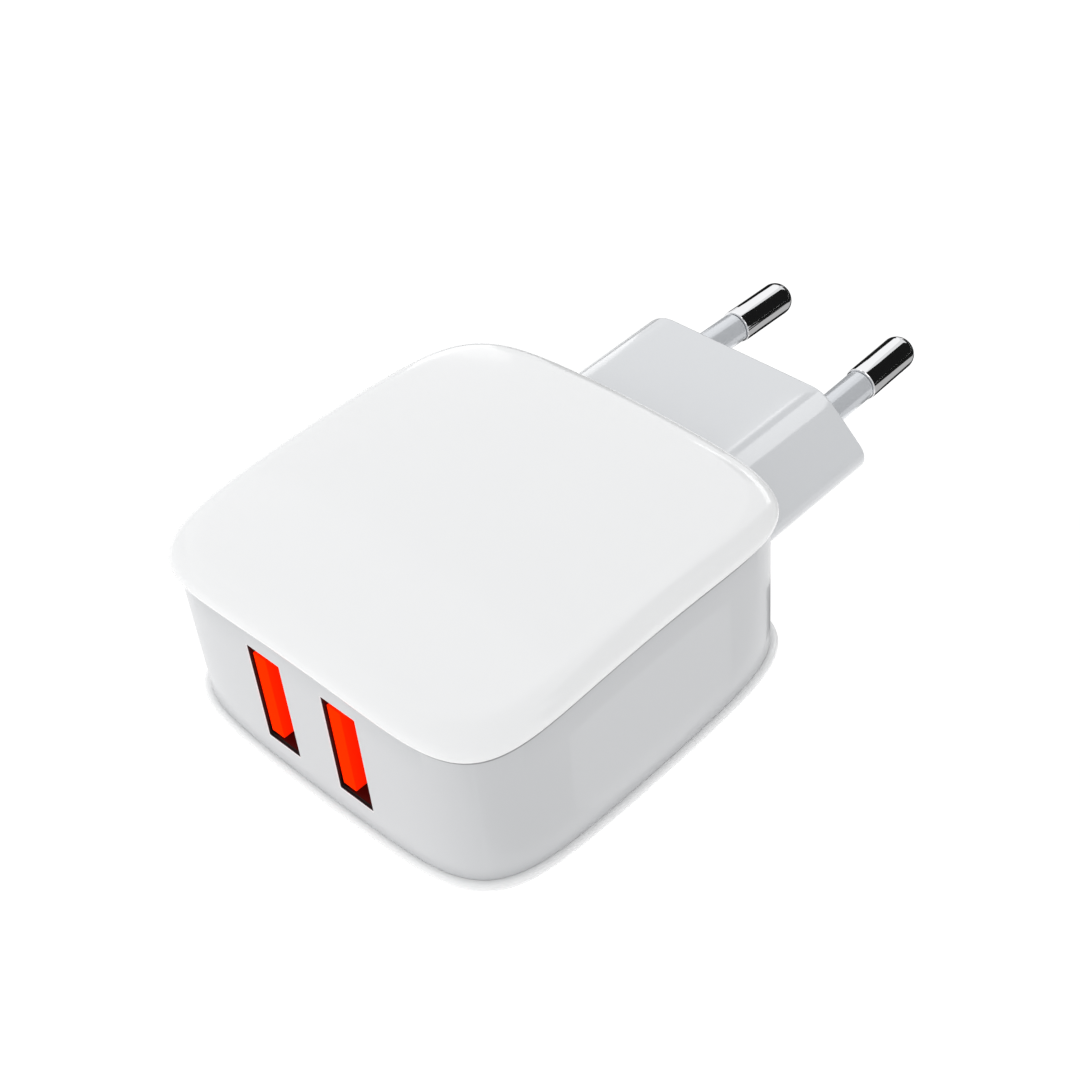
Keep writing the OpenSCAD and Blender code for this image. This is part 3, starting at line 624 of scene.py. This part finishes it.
def cover_section(thickness, rim_at):
    crown = [(0, thickness)] + [(0.4 * i, thickness) for i in range(1, 54)]
    rim = quarter((cover_half - 2.6, rim_at), (2.6, thickness - rim_at), 90, 0, 22)
    tuck = quarter((cover_half - 0.4, rim_at), (0.4, rim_at), 0, -90, 8)
    lip_out, lip_in, lip_drop = frame_half - 1.9, frame_half - 3.1, 1.5
    under = [(frame_half - 1.0, 0), (lip_out, 0), (lip_out, -lip_drop + 0.15), (lip_out - 0.15, -lip_drop),
             (lip_in + 0.15, -lip_drop), (lip_in, -lip_drop + 0.15), (lip_in, 0), (10, 0), (0, 0)]
    return [(x, z + seam_height) for x, z in crown + rim + tuck[1:] + under]


# %% Top and bottom cover
cover_shape = {"segments": 320, "squareness": squareness_value, "dome": dome_radius * MM,
               "seam": seam_height * MM, "centre": body_centre}
top_cover = rolled("top_cover_shell", cover_section(2.4, 0.8), "gloss_white", **cover_shape)
bottom_section = [(x, -z) for x, z in cover_section(1.9, 0.5)]
bottom_cover = rolled("bottom_cover_shell", bottom_section, "gloss_white", lowest=foot_z, **cover_shape)

# %% Posts that carry the board
board_bottom_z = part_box("main_board")[0].z / MM
for post_number, (post_x, post_y) in enumerate(((-15, -59), (15, -59), (-15, -26), (15, -26))):
    post_section = [(0, -11.0), (1.7, -11.0), (1.45, -10.2), (1.4, -9.6), (1.4, board_bottom_z + 0.1),
                    (1.3, board_bottom_z), (0, board_bottom_z)]
    post = rolled(f"board_post_{post_number + 1}", post_section, "gloss_white", segments=32,
                  centre=(post_x * MM, post_y * MM, 0))
    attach(post, BODY)
settle(top_cover, "gloss_white", "top_cover")
settle(bottom_cover, "gloss_white", "bottom_cover")

# %% [markdown]
# ## Middle frame
#
# The frame is a hoop, open above and below. Its ports and its plug opening are cut with the Boolean
# modifier, because their walls are straight and the hoop is curved. Each cutter carries a finish, and the cut
# faces inherit it. In the ports it is near black with a red tint: painted shade inside the port, with a
# painted reflection of the red tongue. A small flare at the mouth of the cutter breaks the sharp edge, and
# its near-white finish is a painted highlight along the port's rim.

# %% Hoop
inner_half = frame_half - 1.8
hoop_section = ([(frame_half, 10.36), (frame_half - 0.03, 10.42), (frame_half - 0.12, 10.44)]
                + quarter((frame_half - 0.2, seam_height - 0.08), (0.08, 0.08), 0, 90, 4)
                + [(inner_half, seam_height), (inner_half, -seam_height)]
                + quarter((frame_half - 0.1, -seam_height + 0.1), (0.1, 0.1), -90, 0, 4)
                + [(frame_half, 6.0 - 2.0 * i) for i in range(7)][::-1])
hoop_section.append(hoop_section[0])
hoop_shape = dict(cover_shape, segments=480)
hoop = rolled("frame_hoop", hoop_section, "matte_grey", **hoop_shape)

# %% Loft helper
def loft(name, loops, slot, close=False):
    """Skins equal loops of points in millimetres, and caps or joins the two ends."""
    count = len(loops[0])
    shape = bmesh.new()
    rings = [[shape.verts.new(Vector(p) * MM) for p in loop] for loop in loops]
    pairs = list(zip(rings, rings[1:] + rings[:1])) if close else list(zip(rings, rings[1:]))
    for ring, following in pairs:
        for i in range(count):
            j = (i + 1) % count
            shape.faces.new((ring[i], ring[j], following[j], following[i]))
    if not close:
        shape.faces.new(rings[0])
        shape.faces.new(rings[-1])
    bmesh.ops.recalc_face_normals(shape, faces=shape.faces)
    mesh = bpy.data.meshes.new(name)
    shape.to_mesh(mesh)
    shape.free()
    mesh.materials.append(finishes[slot])
    return add_piece(name, mesh)


def rounded_corners(corners, steps=8):
    """Points round a polygon whose corners are (x, z, radius)."""
    outline = []
    for i, (x, z, radius) in enumerate(corners):
        here = Vector((x, z))
        before = (Vector(corners[i - 1][:2]) - here).normalized()
        after = (Vector(corners[(i + 1) % len(corners)][:2]) - here).normalized()
        half_angle = before.angle(after) / 2
        centre_at = here + (before + after).normalized() * radius / math.sin(half_angle)
        start = here + before * radius / math.tan(half_angle) - centre_at
        end = here + after * radius / math.tan(half_angle) - centre_at
        sweep = start.angle_signed(end)
        for k in range(steps + 1):
            outline.append(tuple(centre_at + Matrix.Rotation(-sweep * k / steps, 2) @ start))
    return outline


def at_depth(outline, y):
    return [(x, y, z) for x, z in outline]


# %% Plug outline
plug_low, plug_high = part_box("plug_housing")
plug_half_height, plug_half_width = 6.5, 17.3


def plug_outline(grow=0.0):
    height = plug_half_height + grow
    side_round, shoulder = 2.0 + grow, 4.5 + grow
    tip = plug_half_width + grow + side_round * (math.sqrt(2) - 1)
    flat = tip - height
    return rounded_corners([(flat, height, shoulder), (-flat, height, shoulder), (-tip, 0, side_round),
                            (-flat, -height, shoulder), (flat, -height, shoulder), (tip, 0, side_round)], 14)


# %% Cut the ports and the plug opening
front_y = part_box("mid_frame")[0].y / MM
port_half = (2.4, 6.5)


def port_outline(grow):
    x, z = port_half[0] + grow, port_half[1] + grow
    return [(x, z, 0.15), (-x, z, 0.15), (-x, -z, 0.15), (x, -z, 0.15)]


def cut(target, cutter):
    modifier = target.modifiers.new("cut", "BOOLEAN")
    modifier.operation = "DIFFERENCE"
    modifier.solver = "EXACT"
    modifier.material_mode = "TRANSFER"
    modifier.object = cutter
    evaluated = target.evaluated_get(bpy.context.evaluated_depsgraph_get())
    mesh = bpy.data.meshes.new_from_object(evaluated)
    name = target.name
    for used in (target, cutter):
        bpy.data.objects.remove(used)
    return add_piece(name, mesh)


# The hole's walls take painted shade, near black with a red tint, and the flare takes a painted highlight,
# near white.
port_mouths = (("port_hole", "port_well_shade", ((0.0, -0.2), (0.0, 0.5))),
               ("port_flare", "port_edge_highlight", ((0.16, -0.06), (-0.03, 0.13))))
well_corners = ((2.91, 6.6), (-2.91, 6.6), (-2.91, -6.6), (2.91, -6.6))
for port_x in (-5.4, 5.4):
    for cut_name, cut_slot, cut_steps in port_mouths:
        steps = []
        for grow, deep in cut_steps:
            mouth = [(x + port_x, z) for x, z in rounded_corners(port_outline(grow), 4)]
            steps.append(at_depth(mouth, front_y + deep))
        hoop = cut(hoop, loft(cut_name, steps, cut_slot))
    well = [at_depth([(x + port_x, z) for x, z in well_corners], front_y + deep) for deep in (0.35, 4.0)]
    hoop = cut(hoop, loft("port_room", well, "port_well_shade"))
plug_room = [at_depth(plug_outline(0.05), y) for y in (-24.0, -17.0)]
hoop = cut(hoop, loft("plug_room", plug_room, "matte_grey"))
settle(hoop, "matte_grey", "mid_frame")

# %% [markdown]
# ## Plug body
#
# The plug is a hollow flattened hexagon with soft shoulders, so that fingers can hold it. Its walls are
# lofted from rings of one outline: larger inside the frame, where a flange holds the plug against the back
# wall, and a little smaller at the end face to round its edge. An edge bevel would round the end too, but
# the same rings, smaller again, also cut the hollow with its even wall.

# %% Plug rings
plug_back, plug_end = plug_low.y / MM, plug_high.y / MM
edge_round = 0.38
outer_rings = [at_depth(plug_outline(-edge_round * (1 - math.cos(math.radians(t)))),
                        plug_end - edge_round * (1 - math.sin(math.radians(t)))) for t in range(0, 91, 10)]
body_centre_y, wall_gap = body_centre.y / MM, 0.03


def against_wall(outline):
    """Sets each point just inside the frame's curved back wall."""
    half = inner_half - wall_gap
    shares = [1 - min(abs(x) / half, 1.0) ** squareness_value for x, z in outline]
    return [(x, body_centre_y + half * share ** (1 / squareness_value), z)
            for (x, z), share in zip(outline, shares)]


flange = plug_outline(1.2)
flange_rings = [at_depth(flange, plug_back), against_wall(flange), against_wall(plug_outline(0))]
long_rings = [at_depth(plug_outline(0), y) for y in (-19.5, -15.0, -10.0, -5.0)]
plug_skin = loft("plug_outer", flange_rings + long_rings + outer_rings, "plug_grey")
hollow_rings = [at_depth(plug_outline(-1.6), y) for y in (plug_back - 1, -2.4)]
plug_hollow = loft("plug_hollow", hollow_rings, "plug_grey")
plug_body = cut(plug_skin, plug_hollow)

# %% Sleeve holes
pin_end, root_spacing, tip_spacing = 19.0, 18.8, 17.7
pin_lean = math.atan((root_spacing - tip_spacing) / 2 / pin_end)


def pin_place(side):
    """How the pin on one side (-1 is left) stands in the plug's face."""
    return {"turn": (-math.pi / 2, 0, side * pin_lean), "centre": (side * root_spacing / 2 * MM, 0, 0)}


sleeve_hole = [(0, -5), (1.88, -5), (1.88, 3), (0, 3)]
for pin_side in (-1, 1):
    hole = rolled("sleeve_hole", sleeve_hole, "plug_grey", segments=64, **pin_place(pin_side))
    plug_body = cut(plug_body, hole)
settle(plug_body, "plug_grey", "plug_housing")

# %% [markdown]
# ## Pins and sleeves
#
# Each pin is turned from bar: thick and polished at the end, thinner where the insulating sleeve is
# moulded round it, so that no live metal can be touched while the plug is half out. The same rolled shell
# makes them with a squareness of 2, which is a plain circle, and then lays them over at the pin's lean.

# %% Pin and sleeve sections
pin_radius, sleeve_end, sleeve_radius = 2.0, 10.0, 1.8
pin_section = ([(0, -8.0), (1.35, -8.0), (1.5, -7.8), (1.5, sleeve_end - 0.15), (1.5, sleeve_end)]
               + quarter((pin_radius - 0.12, sleeve_end + 0.12), (0.12, 0.12), -90, 0, 4)
               + [(pin_radius, 12.5), (pin_radius, 15.0)]
               + quarter((pin_radius - 1.7, pin_end - 1.7), (1.7, 1.7), 0, 90, 18) + [(0, pin_end)])
sleeve_section = ([(1.5, -3.3), (1.72, -3.4), (sleeve_radius, -3.3), (sleeve_radius, 3.0)]
                  + quarter((sleeve_radius - 0.12, sleeve_end - 0.2), (0.12, 0.12), 0, 90, 4)
                  + [(1.5, sleeve_end - 0.08), (1.5, -3.3)])
for pin_name, pin_side in (("left_pin", -1), ("right_pin", 1)):
    metal_pin = rolled(pin_name + "_turned", pin_section, "pin_metal", **pin_place(pin_side))
    settle(metal_pin, "pin_metal", pin_name)
    pin_sleeve = rolled(pin_name + "_cover", sleeve_section, "sleeve", **pin_place(pin_side))
    settle(pin_sleeve, "sleeve", pin_name + "_sleeve")

# %% [markdown]
# ## Carried parts
#
# The stamped, folded and moulded parts inside have the right shape already. Their CAD meshes are loose
# triangles, so for the two USB tongues a copy is welded, its flat faces are joined up and its edges get a
# tiny bevel, as any real edge has. Where a bevel would open the mesh, the CAD part is kept and only gets its
# finish.
# The other CAD parts are kept as they are and only get their finish.

# %% Softened copies
slot_of = {part["node"]: part["material_slot"] for part in frame["record"]["subparts"]}


def softened(node, width, segments=2, body=BODY):
    source = frame["nodes"][node].data
    shape = bmesh.new()
    shape.from_mesh(source)
    bmesh.ops.remove_doubles(shape, verts=shape.verts, dist=1e-7)
    bmesh.ops.dissolve_limit(shape, angle_limit=math.radians(1), verts=shape.verts, edges=shape.edges)
    sharp = [e for e in shape.edges if e.is_manifold and e.calc_face_angle(0) > math.radians(40)]
    bmesh.ops.bevel(shape, geom=sharp, offset=width * MM, segments=segments, profile=0.5, affect="EDGES",
                    clamp_overlap=True)
    bmesh.ops.triangulate(shape, faces=[f for f in shape.faces if len(f.verts) > 4])
    closed = all(e.is_manifold for e in shape.edges)
    if not closed:
        shape.free()
        return None
    mesh = bpy.data.meshes.new(node + "_soft")
    shape.to_mesh(mesh)
    shape.free()
    mesh.materials.clear()
    mesh.materials.append(finishes[slot_of[node]])
    piece = add_piece(node + "_soft", mesh)
    settle(piece, slot_of[node], node, body=body)
    return piece


left_tongue = softened("left_usb_insulator", 0.3, 4)
right_tongue = softened("right_usb_insulator", 0.3, 4)
print("tongues softened:", left_tongue is not None, right_tongue is not None)

# %% Finish for every CAD part that still shows
for node_name, node_object in frame["nodes"].items():
    for material_slot in node_object.material_slots:
        material_slot.material = finishes[slot_of[node_name]]
print("finished", len(frame["nodes"]), "CAD parts")
